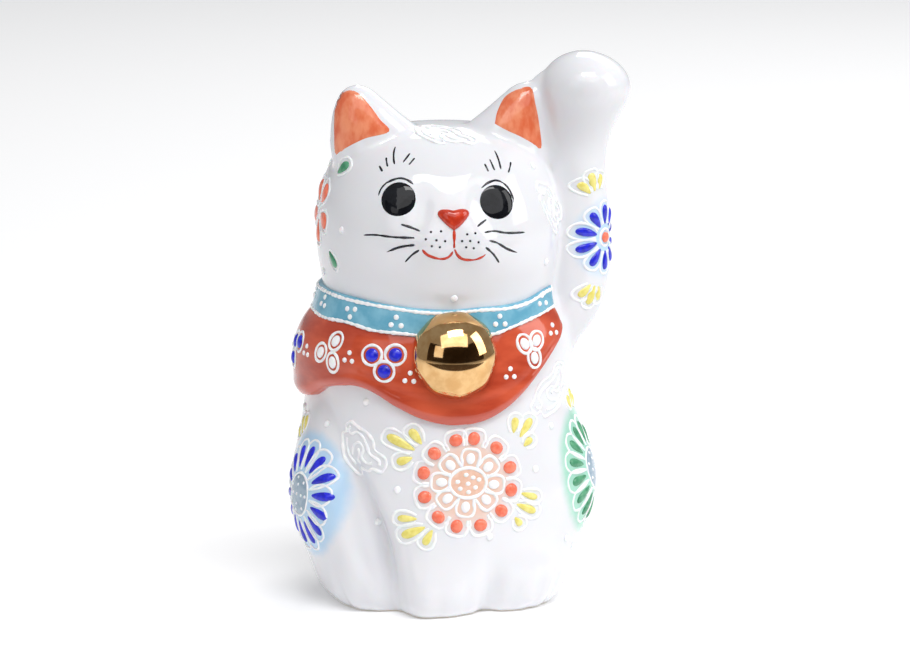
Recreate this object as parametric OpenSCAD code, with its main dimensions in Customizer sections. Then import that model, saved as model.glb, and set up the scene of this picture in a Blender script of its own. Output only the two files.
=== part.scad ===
// Beckoning cat figurine: hollow slip-cast porcelain with raised enamel decoration.
// Millimetres. The cat faces -Y, +X is the cat's own left, +Z is up.
// The origin is on the floor, on the upright axis through the body.

/* [Body] */
// Thickness of the cast porcelain wall
wall = 3.2; // [2.6:0.2:4.0]
// Diameter of the drain hole in the floor
drain_hole_d = 8; // [5:0.5:10]
// Distance of the drain hole behind the body's axis
drain_hole_back = 12; // [10:1:18]
// Depth of the creases between foreleg, haunch and feet
crease_depth = 2.4; // [1.2:0.2:3]

/* [Head and arm] */
// Height of the ear tips
ear_tip_z = 141; // [138:0.5:143]
// Distance of each ear tip from the middle of the head
ear_tip_x = 23.5; // [22:0.5:25]
// Height of the top of the raised paw
paw_top_z = 150; // [148:0.5:151]

/* [Collar and bell] */
// Relief of the collar band
collar_relief = 1.3; // [1:0.1:1.8]
// Relief of the bib at its hem
bib_relief = 2.6; // [1.8:0.2:3.2]
// Diameter of the bell
bell_d = 22.6; // [20:0.2:24]
// Height of the bell's centre
bell_z = 71.6; // [71:0.2:74]

/* [Enamel] */
// Width of a trailed enamel line
trail_w = 1.0; // [0.8:0.1:1.3]
// Width of a painted line, as of a whisker
brush_w = 0.5; // [0.4:0.1:0.8]
// Diameter of a single enamel dot
dot_d = 1.8; // [1.4:0.1:2.2]

/* [Hidden] */

around = 44;            // facets round the torso and the head
plan_power = 2.3;       // 2 is an ellipse, more is squarer
neck_z = 84;            // height of the joint between torso and head
root = 0.35;            // how far enamel is keyed below the glaze
floor_t = wall + 0.6;
pad_h = 0.35;            // height of the white pad under a petal
rim = 0.5;               // white rim that shows round a petal

// Each row of the torso and head: height, half width, reach to the front, reach to the back.
torso_rows = [
    [0, 30.5, 33.6, 31.5], [2.5, 33.2, 36.4, 34.8], [10, 35.8, 37, 38.2], [20, 39.2, 35.6, 41],
    [30, 41.4, 34.4, 42], [38, 41, 34, 41.2], [46, 38.6, 33.6, 39], [56, 36.2, 33, 36],
    [65, 36.4, 31.6, 33.4], [75, 35.2, 29.6, 30.2], [neck_z, 31.8, 28.4, 27.4]
];
head_rows = [
    [neck_z, 31.8, 28.4, 27.4], [90, 32.6, 31, 28.4], [98, 33.2, 33, 29.6], [106, 33, 32.6, 30],
    [114, 31.6, 30, 28.6], [120, 28.8, 26, 25.6], [124.6, 24.4, 21, 21.2], [128, 16, 14.4, 14.8],
    [129.4, 2, 2, 2]
];
// Each row of the arm: height, centre x, centre y, half width, half depth.
arm_rows = [
    [61, 32, 0, 1.5, 2], [65, 32.4, 0, 5.4, 7], [74, 33.2, 0, 9, 9.8], [84, 35, 0, 10.8, 10.8],
    [95, 36, 0, 10.8, 10.8], [108, 36, -0.7, 10, 10.2], [119, 36.3, -2.2, 9, 9.3], [127, 37.2, -4, 9.4, 9.6],
    [136, 38.7, -6, 11.6, 11.8], [144, 38.8, -6.6, 10.8, 11], [148.6, 38.5, -6.4, 5.4, 6],
    [paw_top_z, 38.5, -6.4, 1.2, 1.2]
];
// Each row of the tail: height, centre x, centre y, half width, half depth.
tail_rows = [
    [4, 3, 36, 1.5, 1.5], [7, 4, 38, 7.5, 5], [13, 9, 39.6, 8.4, 6], [21, 14, 40.4, 6.6, 5.6],
    [29, 15.5, 41, 5.4, 5], [35, 14.6, 40.6, 3.8, 3.8], [38, 13.8, 40, 1, 1]
];
// Hem of the bib: angle round the body from the front, height.
hem = [
    [-180, 62], [-150, 61], [-118, 57.6], [-86, 55.8], [-52, 62], [-26, 57.6], [0, 53], [20, 56],
    [36, 61.5], [50, 68], [64, 74.6], [84, 76.4], [106, 74], [128, 66], [152, 62.5], [180, 62]
];

// ---------- curves and surfaces ----------

// Point at place t along a smooth curve through rows.
function spline(rows, t) = let (
    n = len(rows) - 1,
    i = min(max(floor(t), 0), n - 1),
    f = t - i,
    b = rows[i],
    c = rows[i + 1],
    a = i > 0 ? rows[i - 1] : 2 * b - c,
    d = i + 2 <= n ? rows[i + 2] : 2 * c - b
) 0.5 * (2 * b + (c - a) * f + (2 * a - 5 * b + 4 * c - d) * f * f + (3 * b - a - 3 * c + d) * f * f * f);

// Place t at which the first column of rows reaches value v, and the row there.
function place_of(rows, v) = lookup(v, [for (i = [0 : len(rows) - 1]) [rows[i][0], i]]);
function refined_place(rows, v) = let (
    t = place_of(rows, v),
    miss = v - spline(rows, t)[0],
    slope = (spline(rows, t + 0.02)[0] - spline(rows, t - 0.02)[0]) / 0.04
) t + (abs(slope) > 1 ? miss / slope : 0);
function row_at(rows, v) = spline(rows, refined_place(rows, v));

function bump(x, width) = exp(-x * x / (2 * width * width));
function sgnpow(v, e) = sign(v) * pow(abs(v), e);

// Outline point of one horizontal section, q degrees round from the front.
function plan_point(row, q, out) = [
    row[1] * sgnpow(sin(q), 2 / plan_power) + out * sin(q),
    -(cos(q) > 0 ? row[2] : row[3]) * sgnpow(cos(q), 2 / plan_power) - out * cos(q),
    row[0]
];

// Foreleg ridge, and the creases on both sides of it.
function haunch_crease_q(z) = -28 - 14 * pow(z / 38, 2);
function torso_relief(q, z) =
    2.0 * bump(q + 12, 11) * bump(z - 6, 22)
    - crease_depth * bump(q - haunch_crease_q(z), 4.5) * bump(z - 10, 16)
    - crease_depth * bump(q - 14, 4.5) * bump(z - 2, 8)
    + 1.2 * bump(q - 36, 14) * bump(z - 4, 6);
// Muzzle and the bridge of the nose.
function head_relief(q, z) = 1.4 * bump(q, 15) * bump(z - 99, 6) + 0.8 * bump(q, 6) * bump(z - 105, 4);

function torso_skin(q, z, out = 0) = plan_point(row_at(torso_rows, z), q, out + torso_relief(q, z));
function head_skin(q, z, out = 0) = plan_point(row_at(head_rows, z), q, out + head_relief(q, z));
function arm_skin(q, z, out = 0) = let (r = row_at(arm_rows, z))
    [r[1] + (r[3] + out) * sin(q), r[2] - (r[4] + out) * cos(q), r[0]];
function hem_z(q) = row_at(hem, q)[1];
function collar_low(q) = 78 - 1.3 * cos(q);
function collar_high(q) = 85.4 - 1.6 * cos(q);
function collar_skin(q, z, out = 0) =
    (z > neck_z ? head_skin(q, z, out + collar_relief) : torso_skin(q, z, out + collar_relief));
function bib_skin(q, z, out = 0) = torso_skin(q, z, out + bib_relief * (0.6 + 0.4 * (80 - z) / 25));

TORSO = 0;
HEAD = 1;
ARM = 2;
COLLAR = 3;
BIB = 4;
function skin(part, q, z, out = 0) =
    part == HEAD ? head_skin(q, z, out) :
    part == ARM ? arm_skin(q, z, out) :
    part == COLLAR ? collar_skin(q, z, out) :
    part == BIB ? bib_skin(q, z, out) : torso_skin(q, z, out);

function unit(v) = v / norm(v);
function across(part, q, z) = unit(skin(part, q + 1, z) - skin(part, q - 1, z));
function upward(part, q, z) = skin(part, q, z + 0.4) - skin(part, q, z - 0.4);
function facing(part, q, z) = unit(cross(across(part, q, z), upward(part, q, z)));

// Angle round the body of the point x millimetres to the side, at height z.
function angle_at(x, half) = sign(x) * asin(min(1, pow(abs(x) / half, plan_power / 2)));
function side_q(part, x, z) = angle_at(x, row_at(part == HEAD ? head_rows : torso_rows, z)[1]);
// Places a flat pattern's point [s, v] around a centre on the surface.
function mm_per_degree(part, q, z) = norm(skin(part, q + 6, z) - skin(part, q - 6, z)) / 12;
function spread(part, q0, z0, s, v) = [q0 + s / mm_per_degree(part, q0, z0), z0 + v];

// ---------- building blocks ----------

// Closed solid through a stack of rings that all have the same number of points.
module loft(rings) {
    n = len(rings[0]);
    m = len(rings);
    polyhedron(
        points = [for (ring = rings) each ring],
        faces = concat(
            [[for (i = [0 : n - 1]) i]],
            [[for (i = [n - 1 : -1 : 0]) (m - 1) * n + i]],
            [for (j = [0 : m - 2], i = [0 : n - 1])
                [j * n + i, (j + 1) * n + i, (j + 1) * n + (i + 1) % n]],
            [for (j = [0 : m - 2], i = [0 : n - 1])
                [j * n + i, (j + 1) * n + (i + 1) % n, j * n + (i + 1) % n]]
        )
    );
}

torso_steps = 20;       // levels between the foot and the neck
head_steps = 18;        // levels between the neck and the crown

// Solid with the torso's outline; inset is measured inwards.
module torso_solid(inset = 0, from = 0, to = neck_z, steps = torso_steps, sides = around) {
    loft([for (k = [0 : steps])
        let (z = from + (to - from) * k / steps)
        [for (i = [0 : sides - 1])
            let (q = i * 360 / sides)
            plan_point(row_at(torso_rows, min(z, neck_z)), q, (inset > 0 ? 0 : torso_relief(q, z)) - inset)
            + [0, 0, max(0, z - neck_z)]]]);
}

// Upper part of the torso, on the same levels; its facets match the whole torso's.
module torso_top(levels) {
    torso_solid(from = neck_z * (torso_steps - levels) / torso_steps, steps = levels);
}

// Solid with the head's outline up to a number of levels above the neck.
module head_solid(inset = 0, steps = head_steps, sides = around, levels = head_steps) {
    last = len(head_rows) - 1;
    loft([for (k = [0 : min(levels, steps)])
        let (row = spline(head_rows, last * k / steps))
        [for (i = [0 : sides - 1])
            let (q = i * 360 / sides, lip = (inset > 0 && k == 0) ? 1 : 0)
            plan_point(
                [row[0] - lip - inset * k / steps, max(row[1] - inset, 0.4), max(row[2] - inset, 0.4),
                    max(row[3] - inset, 0.4)],
                q, inset > 0 ? 0 : head_relief(q, row[0]))]]);
}

// Limb made of level oval sections.
module limb(rows, sides = 22, steps = 22) {
    last = len(rows) - 1;
    loft([for (k = [0 : steps])
        let (r = spline(rows, last * k / steps))
        [for (i = [0 : sides - 1])
            let (q = i * 360 / sides)
            [r[1] + r[3] * sin(q), r[2] - r[4] * cos(q), r[0]]]]);
}

// Puts its children on the surface with their Z axis along the normal and X to the side.
module stick(part, q, z) {
    p = skin(part, q, z);
    n = facing(part, q, z);
    x = across(part, q, z);
    y = cross(n, x);
    multmatrix([
        [x[0], y[0], n[0], p[0]],
        [x[1], y[1], n[1], p[1]],
        [x[2], y[2], n[2], p[2]],
        [0, 0, 0, 1]
    ]) children();
}

// Low round dome, keyed into the glaze.
module bead(d, h) {
    r = (d * d / 4 + h * h) / (2 * h);
    rotate_extrude($fn = 24)
        union() {
            intersection() {
                translate([0, h - r]) circle(r = r, $fn = 96);
                square([d, h]);
            }
            translate([0, -root]) square([d / 2, root + 0.01]);
        }
}

// Ring of trailed enamel.
module ring(d, w = trail_w) {
    rotate_extrude($fn = 36)
        translate([d / 2, 0])
            union() {
                intersection() {
                    circle(d = w, $fn = 16);
                    translate([-w, 0]) square([2 * w, w]);
                }
                translate([-w / 2, -root]) square([w, root + 0.01]);
            }
}

// Drop shape turned about its own length, its fat end at +Y, cut to the levels low and high.
module drop_slice(length, width, high, low, crown) {
    blunt = width / 2;
    intersection() {
        translate([0, length / 2 - blunt, crown - blunt])
            rotate([90, 0, 0])
                rotate_extrude($fn = 20)
                    polygon([
                        [0, -blunt], for (a = [-72 : 18 : 18]) [blunt * cos(a), blunt * sin(a)],
                        [blunt * 0.6, (length - blunt) * 0.5], [blunt * 0.2, (length - blunt) * 0.92],
                        [0, length - blunt]
                    ]);
        translate([-width, -length, low]) cube([2 * width, 2 * length, high - low]);
    }
}

// Trailed or painted line on the surface through [angle, height] points.
module trail(part, pts, w = trail_w, h = 0.5, sides = 4, steps = 2) {
    last = len(pts) - 1;
    n = max(2, last * steps);
    path = [for (k = [0 : n]) spline(pts, last * k / n)];
    middle = [for (p = path) skin(part, p[0], p[1])];
    loft([for (k = [0 : n])
        let (
            along = unit(middle[min(k + 1, n)] - middle[max(k - 1, 0)]),
            up = facing(part, path[k][0], path[k][1]),
            side = unit(cross(along, up)),
            taper = (k == 0 || k == n) ? 0.6 : 1
        )
        [for (i = [0 : sides - 1])
            let (a = -360 * i / sides, rise = sin(a) > 0 ? h * taper : root)
            middle[k] + side * (w / 2 * taper * cos(a)) + up * (rise * sin(a))]]);
}

// Coloured drop of one petal, standing on its pad; turn is measured from straight up.
module petal_drop(part, q0, z0, turn, at, length, width) {
    p = spread(part, q0, z0, at * sin(turn), at * cos(turn));
    stick(part, p[0], p[1]) rotate([0, 0, -turn]) drop_slice(length, width, 2, pad_h, pad_h + 0.6);
}

// White pad of one petal, wider than the drop by the rim that shows round it.
module petal_pad(part, q0, z0, turn, at, length, width) {
    p = spread(part, q0, z0, at * sin(turn), at * cos(turn));
    stick(part, p[0], p[1])
        rotate([0, 0, -turn]) drop_slice(length + 2 * rim, width + 2 * rim, pad_h, -root, width / 2 + rim);
}

// Cloud scroll: one winding line.
module scroll(part, q0, z0, w, h) {
    shape = [[-0.5, -0.1], [-0.45, 0.3], [-0.1, 0.5], [0.3, 0.42], [0.5, 0.05], [0.35, -0.35], [0.05, -0.5],
        [-0.25, -0.35], [-0.2, 0], [0.05, 0.2], [0.2, 0.02], [0.05, -0.12]];
    trail(part, [for (c = shape) spread(part, q0, z0, c[0] * w, c[1] * h)], trail_w * 0.8, 0.35, 4, 1);
}

// Three dots set in a triangle.
module trefoil(part, q0, z0, apart) {
    for (a = [90, 210, 330]) {
        p = spread(part, q0, z0, apart * cos(a), apart * sin(a));
        stick(part, p[0], p[1]) children();
    }
}

// ---------- porcelain ----------

module torso_shell() {
    color("#EEEEF2")
        difference() {
            torso_solid();
            torso_solid(inset = wall, from = floor_t, to = neck_z + 1, steps = 10, sides = 28);
            translate([0, drain_hole_back, -1]) cylinder(d = drain_hole_d, h = floor_t + 2, $fn = 48);
        }
}

module ear(hand) {
    hull() {
        translate([hand * ear_tip_x, -4, ear_tip_z - 2.2]) sphere(r = 2.2, $fn = 14);
        translate([hand * 25.4, -3, 117.5]) scale([1, 1.4, 1]) sphere(r = 4.6, $fn = 16);
        translate([hand * 8, -3.5, 122.6]) scale([1, 1.2, 1]) sphere(r = 3.4, $fn = 16);
    }
}

module head_shell() {
    color("#EEEEF2")
        difference() {
            union() {
                head_solid();
                ear(-1);
                ear(1);
            }
            head_solid(inset = wall, steps = 10, sides = 28);
        }
}

module raised_arm() {
    color("#EEEEF2")
        difference() {
            limb(arm_rows);
            torso_top(7);
            head_solid();
        }
}

module tail() {
    color("#EEEEF2")
        difference() {
            limb(tail_rows, 16, 12);
            torso_solid();
        }
}

module collar_band() {
    color("#62A5BE")
        difference() {
            loft([for (part = [[-1, 0], [0.4, 0], [1, 0.12], [1, 0.88], [0.4, 1], [-1, 1]])
                [for (i = [0 : around - 1])
                    let (
                        q = i * 360 / around,
                        z = collar_low(q) + (collar_high(q) - collar_low(q)) * part[1]
                    )
                    collar_skin(q, z, collar_relief * (part[0] - 1))]]);
            torso_top(3);
            head_solid(levels = 6);
        }
}

module bib() {
    sections = [[-1, 0], [0.5, 0], [1, 0.06], [1, 0.4], [1, 0.75], [1, 1], [-1, 1]];
    color("#C24A30")
        difference() {
            loft([for (part = sections)
                [for (i = [0 : around - 1])
                    let (
                        q = -180 + i * 360 / around,
                        z = hem_z(q) + (collar_low(q) - hem_z(q)) * part[1],
                        out = part[0] < 0 ? -1 : bib_relief * part[0] * (1 - 0.4 * part[1])
                    )
                    torso_skin(q, z, out)]]);
            torso_top(9);
            limb(arm_rows);
        }
}

module bell() {
    relief = 9;
    r = (bell_d * bell_d / 4 + relief * relief) / (2 * relief);
    color("#C9A15A")
        translate([0, -torso_front_at_bell(), bell_z])
            rotate([90, 0, 0])
                rotate_extrude($fn = 64)
                    intersection() {
                        translate([0, relief - r]) circle(r = r, $fn = 120);
                        square([bell_d / 2, relief]);
                    }
}
function torso_front_at_bell() = -bib_skin(0, bell_z)[1];

// ---------- face ----------

eye_z = 114.4;
module eye(x) {
    q = side_q(HEAD, x, eye_z);
    color("#1D1F26") stick(HEAD, q, eye_z) bead(8.8, 0.9);
}
module eye_right() eye(-14.6);
module eye_left() eye(12.6);

module face_line(pts, w = brush_w, h = 0.18) {
    trail(HEAD, [for (p = pts) [side_q(HEAD, p[0], p[1]), p[1]]], w, h, 4, 2);
}
module both_sides(pts, w = brush_w, h = 0.18) {
    face_line(pts, w, h);
    face_line([for (p = pts) [-p[0], p[1]]], w, h);
}
module eyelid_lines() color("#1A1A22") both_sides([[19.5, 115], [18, 118.6], [14, 120], [10.4, 118.2]]);
module lashes()
    color("#1A1A22")
        for (lash = [[[18.6, 123], [17.4, 121.4]], [[17, 125], [16.2, 122.2]], [[14, 126.6], [14.2, 123]],
            [[10, 125.6], [12.2, 122.8]]])
            both_sides([lash[0], (lash[0] + lash[1]) / 2, lash[1]]);
module whiskers()
    color("#1A1A22")
        for (row = [[[13.4, 108.6], [7.6, 106.8]], [[25, 105.6], [8.8, 105]], [[18, 100.6], [8.8, 103]],
            [[12.6, 97.4], [8, 101.4]]])
            both_sides([row[0], (row[0] + row[1]) / 2 + [0, 0.4], row[1]]);
module muzzle_spots()
    color("#1A1A22")
        for (x = [3, 5.4, 7.6], z = [102.2, 104.4])
            for (hand = [-1, 1])
                stick(HEAD, side_q(HEAD, hand * (x + (z > 103 ? 0.6 : -0.6)), z), z) bead(0.7, 0.15);
module nose() {
    color("#C8402A")
        stick(HEAD, 0, 108.4)
            difference() {
                hull() {
                    translate([-2, 0.6, 0]) bead(3.6, 1);
                    translate([2, 0.6, 0]) bead(3.6, 1);
                    translate([0, -1.6, 0]) bead(2, 0.8);
                }
                translate([-10, -10, -2]) cube([20, 20, 1]);
            }
}
module mouth_line()
    color("#E04A32") {
        face_line([[0, 106.4], [0, 103.6], [0, 100.6]], 0.7, 0.25);
        both_sides([[0, 100.6], [3, 98.6], [6.4, 98.8], [8.6, 100.8]], 0.8, 0.25);
    }

// Enamel panel on the front of an ear.
module ear_enamel(hand) {
    color("#E0693F")
        difference() {
            hull() {
                translate([hand * (ear_tip_x - 0.2), -6.4, ear_tip_z - 5]) sphere(r = 1.2, $fn = 13);
                translate([hand * 26.4, -9.2, 121.5]) sphere(r = 1.2, $fn = 13);
                translate([hand * 14, -8.4, 124.6]) sphere(r = 1.2, $fn = 13);
            }
            head_solid();
            ear(hand);
        }
}
module ear_enamel_right() ear_enamel(-1);
module ear_enamel_left() ear_enamel(1);

// ---------- scrolls and flowers ----------

module crown_cloud() color("#FDFEFF") scroll(HEAD, 0, 124.6, 14, 5);
module head_side_cloud() color("#FDFEFF") scroll(HEAD, 60, 105, 6, 14);
module chest_cloud_right() color("#FDFEFF") scroll(TORSO, -42, 44, 12, 14);
module chest_cloud_left() color("#FDFEFF") scroll(TORSO, 52, 61, 9, 12);

flower_q = 3.4;
flower_z = 37.2;

module front_flower_outline() {
    steps = 60;
    lobes = 12;
    pts = [for (k = [0 : steps])
        let (a = 360 * k / steps, r = 13.4 + 1.3 * abs(sin(a * lobes / 2)))
        spread(TORSO, flower_q, flower_z, r * sin(a), r * cos(a))];
    color("#FDFEFF") {
        trail(TORSO, pts, trail_w * 0.9, 0.45, 4, 1);
        stick(TORSO, flower_q, flower_z) ring(8.8);
    }
}
module flower_ring(count, r, first) {
    for (k = [0 : count - 1]) {
        a = first + 360 * k / count;
        p = spread(TORSO, flower_q, flower_z, r * sin(a), r * cos(a));
        stick(TORSO, p[0], p[1]) children();
    }
}
module front_flower_coral_beads() color("#F97F63") flower_ring(12, 11.4, -22) bead(3.4, 0.9);
module front_flower_white_beads()
    color("#FDFEFF") flower_ring(8, 7.3, 5) {
        bead(2.4, 0.7);
        ring(4, 0.8);
    }
module front_flower_centre()
    color("#FDFEFF") {
        stick(TORSO, flower_q, flower_z) bead(1.2, 0.5);
        flower_ring(7, 2.7, 0) bead(1.2, 0.5);
    }

spray_places = [[-15.5, 12.5, -50], [13.5, 14.5, 45], [-12.5, -13.5, -150], [16, -10.5, 125]];
module front_spray_drops()
    color("#F0E583")
        for (place = spray_places, fan = [-34, 0, 34])
            petal_drop(TORSO, flower_q + place[0] * 1.62, flower_z + place[1], place[2] + fan, 3.6, 4.6, 2.2);
module front_spray_outlines()
    color("#FDFEFF")
        for (place = spray_places, fan = [-34, 0, 34])
            petal_pad(TORSO, flower_q + place[0] * 1.62, flower_z + place[1], place[2] + fan, 3.6, 4.6, 2.2);

haunch_petal_count = 14;
haunch_right = [-71, 31];     // angle and height of the flower on the right haunch
haunch_left = [74, 35];
module haunch_petals(at) {
    for (k = [0 : haunch_petal_count - 1])
        petal_drop(TORSO, at[0], at[1], 360 / haunch_petal_count * k, 10.4, 6.4, 2.5);
}
module haunch_outlines(at) {
    for (k = [0 : haunch_petal_count - 1])
        petal_pad(TORSO, at[0], at[1], 360 / haunch_petal_count * k, 10.4, 6.4, 2.5);
    stick(TORSO, at[0], at[1]) ring(11);
}
module right_haunch_petals() color("#3236E0") haunch_petals(haunch_right);
module right_haunch_outlines() color("#FDFEFF") haunch_outlines(haunch_right);
module left_haunch_petals() color("#4F9A72") haunch_petals(haunch_left);
module left_haunch_outlines() color("#FDFEFF") haunch_outlines(haunch_left);

arm_flower_q = 56;
arm_flower_z = 99;
module arm_flower_petals()
    color("#3236E0")
        for (k = [0 : 9]) petal_drop(ARM, arm_flower_q, arm_flower_z, 36 * k, 6.4, 5.2, 2);
module arm_flower_outlines()
    color("#BCD9F2") {
        for (k = [0 : 9]) petal_pad(ARM, arm_flower_q, arm_flower_z, 36 * k, 6.4, 5.2, 2);
        stick(ARM, arm_flower_q, arm_flower_z) ring(4.6);
    }
module arm_flower_centre() color("#F97F63") stick(ARM, arm_flower_q, arm_flower_z) bead(3, 0.8);
module arm_spray_drops()
    color("#F8F5AE")
        for (place = [[13, 0], [-13, 180]], fan = [-40, 0, 40])
            petal_drop(ARM, arm_flower_q, arm_flower_z + place[0], place[1] + fan, 2.6, 4, 2);

cheek_q = -84;
cheek_z = 105.5;
module cheek_flower_petals()
    color("#F97F63")
        for (k = [0 : 4]) petal_drop(HEAD, cheek_q, cheek_z, 72 * k, 5.6, 5.4, 4.2);
module cheek_flower_outlines()
    color("#FDFEFF") {
        for (k = [0 : 4]) petal_pad(HEAD, cheek_q, cheek_z, 72 * k, 5.6, 5.4, 4.2);
        stick(HEAD, cheek_q, cheek_z) ring(3);
    }
module cheek_leaves()
    color("#4F9A72")
        for (turn = [38, 142]) petal_drop(HEAD, cheek_q, cheek_z, turn, 14, 5.6, 2.2);

// ---------- dots, collar and bib ----------

body_dots = [[-24, 54], [-52, 47], [-80, 52], [-22, 29], [-31, 20], [42, 37], [16, 16.6], [52, 49], [62, 16],
    [70, 12], [62, 72], [74, 66], [120, 50], [150, 34], [180, 48], [-120, 46], [-150, 30], [-176, 22]];
head_dots = [[-62, 102], [-1, 86.8], [-80, 91.6], [52, 118], [60, 94], [120, 112], [180, 104], [-130, 98]];
module scattered_dots()
    color("#FDFEFF") {
        for (p = body_dots) stick(TORSO, p[0], p[1]) bead(dot_d, 0.6);
        for (p = head_dots) stick(HEAD, p[0], p[1]) bead(dot_d, 0.6);
    }

module collar_trim()
    color("#FDFEFF")
        for (edge = [0.06, 0.94])
            trail(COLLAR, [for (k = [0 : 48])
                let (q = -178 + 356 * k / 48)
                [q, collar_low(q) + (collar_high(q) - collar_low(q)) * edge]], trail_w, 0.45, 4, 1);
module collar_dots()
    color("#FDFEFF")
        for (q = [-174, -146, -118, -90, -54, -28, 28, 54, 118, 146])
            trefoil(COLLAR, q, (collar_low(q) + collar_high(q)) / 2, 1.3) bead(1.2, 0.5);

module bib_white_rings()
    color("#FDFEFF")
        for (place = [[-58, 70], [-30, 67], [42, 74], [-90, 66], [-125, 68], [-160, 69], [160, 70]])
            trefoil(BIB, place[0], place[1], 2.9) ring(3.9, 0.7);
module bib_blue_beads()
    color("#3236E0")
        for (place = [[-30, 67], [-90, 66], [-160, 69]])
            trefoil(BIB, place[0], place[1], 2.9) bead(3.6, 0.9);
bib_dot_places = [[-74, 68], [-46, 64], [-19, 61.5], [24, 64], [53, 75], [-108, 65], [-142, 66], [142, 69]];
module bib_dots()
    color("#FDFEFF")
        for (place = bib_dot_places) trefoil(BIB, place[0], place[1], 1.2) bead(1.2, 0.5);

torso_shell();
head_shell();
raised_arm();
tail();
collar_band();
bib();
bell();
eye_right();
eye_left();
eyelid_lines();
lashes();
whiskers();
muzzle_spots();
nose();
mouth_line();
ear_enamel_right();
ear_enamel_left();
crown_cloud();
head_side_cloud();
chest_cloud_right();
chest_cloud_left();
front_flower_outline();
front_flower_coral_beads();
front_flower_white_beads();
front_flower_centre();
front_spray_drops();
front_spray_outlines();
right_haunch_petals();
right_haunch_outlines();
left_haunch_petals();
left_haunch_outlines();
arm_flower_petals();
arm_flower_outlines();
arm_flower_centre();
arm_spray_drops();
cheek_flower_petals();
cheek_flower_outlines();
cheek_leaves();
scattered_dots();
collar_trim();
collar_dots();
bib_white_rings();
bib_blue_beads();
bib_dots();
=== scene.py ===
import math

import bpy
import numpy as np
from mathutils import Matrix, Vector
from mathutils.bvhtree import BVHTree


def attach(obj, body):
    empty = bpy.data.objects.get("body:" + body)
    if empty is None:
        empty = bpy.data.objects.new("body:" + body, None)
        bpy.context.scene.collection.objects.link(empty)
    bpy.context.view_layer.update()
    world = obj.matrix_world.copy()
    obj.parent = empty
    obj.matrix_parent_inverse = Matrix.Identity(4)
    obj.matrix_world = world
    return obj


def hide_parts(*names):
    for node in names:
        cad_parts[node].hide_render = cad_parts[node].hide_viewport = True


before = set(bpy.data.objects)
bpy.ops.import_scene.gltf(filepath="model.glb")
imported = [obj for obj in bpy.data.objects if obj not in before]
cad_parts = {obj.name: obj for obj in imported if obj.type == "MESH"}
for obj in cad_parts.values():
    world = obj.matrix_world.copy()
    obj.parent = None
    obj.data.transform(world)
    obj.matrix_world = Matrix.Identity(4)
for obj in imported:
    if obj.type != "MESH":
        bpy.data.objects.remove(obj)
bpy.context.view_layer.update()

MM = 0.001


# ---------------------------------------------------------------- camera, floor and light
# A long lens from a little above the cat's eyes and a little to its right, a white acrylic
# table lit from below to stand on, and soft boxes to the right, the front and behind.

CAMERA_SIDE, CAMERA_RISE = math.radians(-7), math.radians(11)
CAMERA_AWAY = 1.6
AIM_ASIDE, AIM_HEIGHT = 4.15 * MM, 71.2 * MM
FIELD_WIDTH = 249.0 * MM

bpy.ops.object.select_all(action="DESELECT")
to_right = Vector((math.cos(CAMERA_SIDE), math.sin(CAMERA_SIDE), 0))
to_camera = Vector((math.sin(CAMERA_SIDE) * math.cos(CAMERA_RISE),
                    -math.cos(CAMERA_SIDE) * math.cos(CAMERA_RISE), math.sin(CAMERA_RISE)))
aim = to_right * AIM_ASIDE + Vector((0, 0, AIM_HEIGHT))
bpy.ops.object.camera_add(location=aim + to_camera * CAMERA_AWAY,
                          rotation=(-to_camera).to_track_quat("-Z", "Y").to_euler())
camera = bpy.context.object
camera.data.sensor_width = 36
camera.data.lens = 36 * CAMERA_AWAY / FIELD_WIDTH
camera.data.clip_start = 0.01
bpy.context.scene.camera = camera


def linear(hex_colour):
    parts = [int(hex_colour[i:i + 2], 16) / 255 for i in (1, 3, 5)]
    return [c / 12.92 if c <= 0.04045 else ((c + 0.055) / 1.055) ** 2.4 for c in parts] + [1]


def node(tree, kind, settings=None, **inputs):
    """Adds one shader node; an input may be a value or another node's output."""
    made = tree.nodes.new(kind)
    for name, value in (settings or {}).items():
        setattr(made, name, value)
    for name, value in inputs.items():
        key = int(name[1:]) if name[0] == "_" and name[1:].isdigit() else name.replace("_", " ")
        socket = made.inputs[key]
        if isinstance(value, bpy.types.NodeSocket):
            tree.links.new(value, socket)
        else:
            socket.default_value = value
    return made


def start_material(name, **settings):
    material = bpy.data.materials.new(name)
    material.use_nodes = True
    tree = material.node_tree
    surface = tree.nodes["Principled BSDF"]
    for key, value in settings.items():
        surface.inputs[key.replace("_", " ")].default_value = value
    return material, tree, surface


bpy.ops.mesh.primitive_plane_add(size=6, location=(0, 1.2, 0))
floor = bpy.context.object
floor.name = "white_sweep"
sweep_paper, tree, surface = start_material("white_acrylic_table", Roughness=0.6)
place = node(tree, "ShaderNodeTexCoord").outputs["Object"]
fibre = node(tree, "ShaderNodeTexNoise", Vector=place, Scale=900.0, Detail=2.0)
tint = node(tree, "ShaderNodeMix", {"data_type": "RGBA"}, _0=fibre.outputs["Fac"],
            _6=linear("#F6F6F7"), _7=linear("#FAFAFA"))
tree.links.new(tint.outputs[2], surface.inputs["Base Color"])
surface.inputs["Emission Color"].default_value = (1, 1, 1, 1)
surface.inputs["Emission Strength"].default_value = 0.16
floor.data.materials.append(sweep_paper)

world = bpy.data.worlds.new("studio")
bpy.context.scene.world = world
world.use_nodes = True
world.node_tree.nodes["Background"].inputs["Color"].default_value = (0.97, 0.98, 1.0, 1)
world.node_tree.nodes["Background"].inputs["Strength"].default_value = 0.34

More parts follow.
